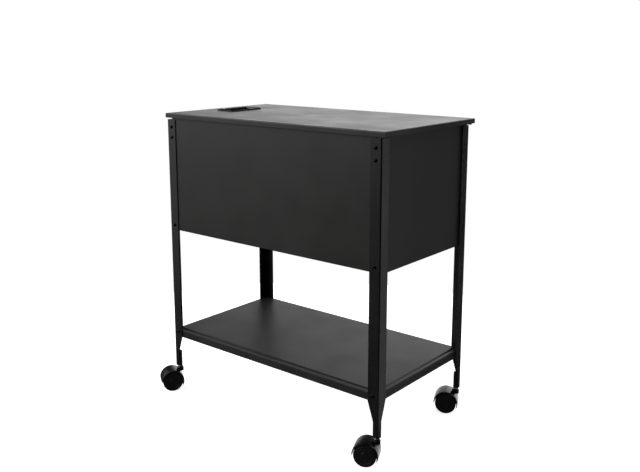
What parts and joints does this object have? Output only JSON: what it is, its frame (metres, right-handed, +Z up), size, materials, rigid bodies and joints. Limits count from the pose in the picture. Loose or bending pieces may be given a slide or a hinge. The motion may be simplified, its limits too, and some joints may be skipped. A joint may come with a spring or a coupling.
{
  "type": "rolling file cart",
  "caption": "Black steel rolling file cart: a lidded, locking tub for hanging files on angle legs over an open shelf, with twin-wheel swivel casters.",
  "frame": {"origin": "on the floor, under the middle of the whole cart's bounding box with the lid closed", "axes": "+Z up; +X along the cart from the lock end to the end with the lid's pivots; -Y is the front"},
  "size_m": [0.6903, 0.402, 0.7114],
  "materials": {
    "black_powder_coat": "fine satin black powder coat on sheet steel",
    "black_moulded_plastic": "moulded black nylon, satin",
    "chrome_plated_zinc": "bright chrome plate on die-cast zinc",
    "bright_zinc_plate": "bright zinc plate on steel",
    "black_oxide_steel": "black oxide on steel screws",
    "natural_nylon": "uncoloured moulded nylon"
  },
  "bodies": {
    "cart": {"front_panel": "black_powder_coat", "back_panel": "black_powder_coat", "left_end_panel": "black_powder_coat", "right_end_panel": "black_powder_coat", "tub_floor": "black_powder_coat", "shelf": "black_powder_coat", "file_rail_front": "black_powder_coat", "file_rail_back": "black_powder_coat", "lock_strike": "bright_zinc_plate", "pivot_bracket_front": "black_powder_coat", "pivot_bracket_back": "black_powder_coat", "pivot_pin_front": "black_oxide_steel", "pivot_pin_back": "black_oxide_steel", "leg_front_left": "black_powder_coat", "screw_front_left_upper": "black_oxide_steel", "screw_front_left_shelf": "black_oxide_steel", "stem_socket_front_left": "black_moulded_plastic", "caster_stem_front_left": "bright_zinc_plate", "leg_front_right": "black_powder_coat", "screw_front_right_upper": "black_oxide_steel", "screw_front_right_shelf": "black_oxide_steel", "stem_socket_front_right": "black_moulded_plastic", "caster_stem_front_right": "bright_zinc_plate", "leg_back_left": "black_powder_coat", "screw_back_left_upper": "black_oxide_steel", "screw_back_left_shelf": "black_oxide_steel", "stem_socket_back_left": "black_moulded_plastic", "caster_stem_back_left": "bright_zinc_plate", "leg_back_right": "black_powder_coat", "screw_back_right_upper": "black_oxide_steel", "screw_back_right_shelf": "black_oxide_steel", "stem_socket_back_right": "black_moulded_plastic", "caster_stem_back_right": "bright_zinc_plate"},
    "lid_sliders": {"slide_block_front": "natural_nylon", "slide_block_back": "natural_nylon"},
    "lid": {"lid_panel": "black_powder_coat", "lid_track_front": "bright_zinc_plate", "lid_track_back": "bright_zinc_plate", "handle_cup": "black_moulded_plastic", "lock_housing": "chrome_plated_zinc", "lock_nut": "bright_zinc_plate"},
    "lock_core": {"lock_plug": "chrome_plated_zinc", "lock_cam": "bright_zinc_plate"},
    "caster_front_left": {"caster_hood_front_left": "black_moulded_plastic", "caster_axle_front_left": "bright_zinc_plate"},
    "wheel_front_left_a": {"wheel_front_left_a": "black_moulded_plastic"},
    "wheel_front_left_b": {"wheel_front_left_b": "black_moulded_plastic"},
    "caster_front_right": {"caster_hood_front_right": "black_moulded_plastic", "caster_axle_front_right": "bright_zinc_plate"},
    "wheel_front_right_a": {"wheel_front_right_a": "black_moulded_plastic"},
    "wheel_front_right_b": {"wheel_front_right_b": "black_moulded_plastic"},
    "caster_back_left": {"caster_hood_back_left": "black_moulded_plastic", "caster_axle_back_left": "bright_zinc_plate"},
    "wheel_back_left_a": {"wheel_back_left_a": "black_moulded_plastic"},
    "wheel_back_left_b": {"wheel_back_left_b": "black_moulded_plastic"},
    "caster_back_right": {"caster_hood_back_right": "black_moulded_plastic", "caster_axle_back_right": "bright_zinc_plate"},
    "wheel_back_right_a": {"wheel_back_right_a": "black_moulded_plastic"},
    "wheel_back_right_b": {"wheel_back_right_b": "black_moulded_plastic"}
  },
  "joints": [
    {"name": "lid_hinge", "type": "hinge", "parent": "cart", "child": "lid_sliders", "pos_m": [0.3412, 0.0151, 0.703], "axis": [0, 1, 0], "range_deg": [0, 90]},
    {"name": "lid_slide", "type": "slide", "parent": "lid_sliders", "child": "lid", "axis": [1, 0, 0], "range_m": [0, 0.4]},
    {"name": "lock_turn", "type": "hinge", "parent": "lid", "child": "lock_core", "pos_m": [-0.2688, 0.0151, 0.6975], "axis": [0, 0, 1], "range_deg": [0, 90]},
    {"name": "swivel_front_left", "type": "hinge", "parent": "cart", "child": "caster_front_left", "pos_m": [-0.2929, -0.1485, 0.055], "axis": [0, 0, 1], "continuous": true},
    {"name": "wheel_front_left_a_spin", "type": "hinge", "parent": "caster_front_left", "child": "wheel_front_left_a", "pos_m": [-0.3052, -0.16674, 0.025], "axis": [0.829, -0.5592, 0], "continuous": true},
    {"name": "wheel_front_left_b_spin", "type": "hinge", "parent": "caster_front_left", "child": "wheel_front_left_b", "pos_m": [-0.3052, -0.16674, 0.025], "axis": [0.829, -0.5592, 0], "continuous": true},
    {"name": "swivel_front_right", "type": "hinge", "parent": "cart", "child": "caster_front_right", "pos_m": [0.3263, -0.1485, 0.055], "axis": [0, 0, 1], "continuous": true},
    {"name": "wheel_front_right_a_spin", "type": "hinge", "parent": "caster_front_right", "child": "wheel_front_right_a", "pos_m": [0.30636, -0.1578, 0.025], "axis": [0.4226, -0.9063, 0], "continuous": true},
    {"name": "wheel_front_right_b_spin", "type": "hinge", "parent": "caster_front_right", "child": "wheel_front_right_b", "pos_m": [0.30636, -0.1578, 0.025], "axis": [0.4226, -0.9063, 0], "continuous": true},
    {"name": "swivel_back_left", "type": "hinge", "parent": "cart", "child": "caster_back_left", "pos_m": [-0.2929, 0.1787, 0.055], "axis": [0, 0, 1], "continuous": true},
    {"name": "wheel_back_left_a_spin", "type": "hinge", "parent": "caster_back_left", "child": "wheel_back_left_a", "pos_m": [-0.3107, 0.16577, 0.025], "axis": [0.5878, -0.809, 0], "continuous": true},
    {"name": "wheel_back_left_b_spin", "type": "hinge", "parent": "caster_back_left", "child": "wheel_back_left_b", "pos_m": [-0.3107, 0.16577, 0.025], "axis": [0.5878, -0.809, 0], "continuous": true},
    {"name": "swivel_back_right", "type": "hinge", "parent": "cart", "child": "caster_back_right", "pos_m": [0.3263, 0.1787, 0.055], "axis": [0, 0, 1], "continuous": true},
    {"name": "wheel_back_right_a_spin", "type": "hinge", "parent": "caster_back_right", "child": "wheel_back_right_a", "pos_m": [0.30653, 0.16906, 0.025], "axis": [0.4384, -0.8988, 0], "continuous": true},
    {"name": "wheel_back_right_b_spin", "type": "hinge", "parent": "caster_back_right", "child": "wheel_back_right_b", "pos_m": [0.30653, 0.16906, 0.025], "axis": [0.4384, -0.8988, 0], "continuous": true}
  ],
  "couplings": [
    {"joint": "lid_slide", "follows": "lid_hinge", "m_per_rad": 0.25464}
  ]
}
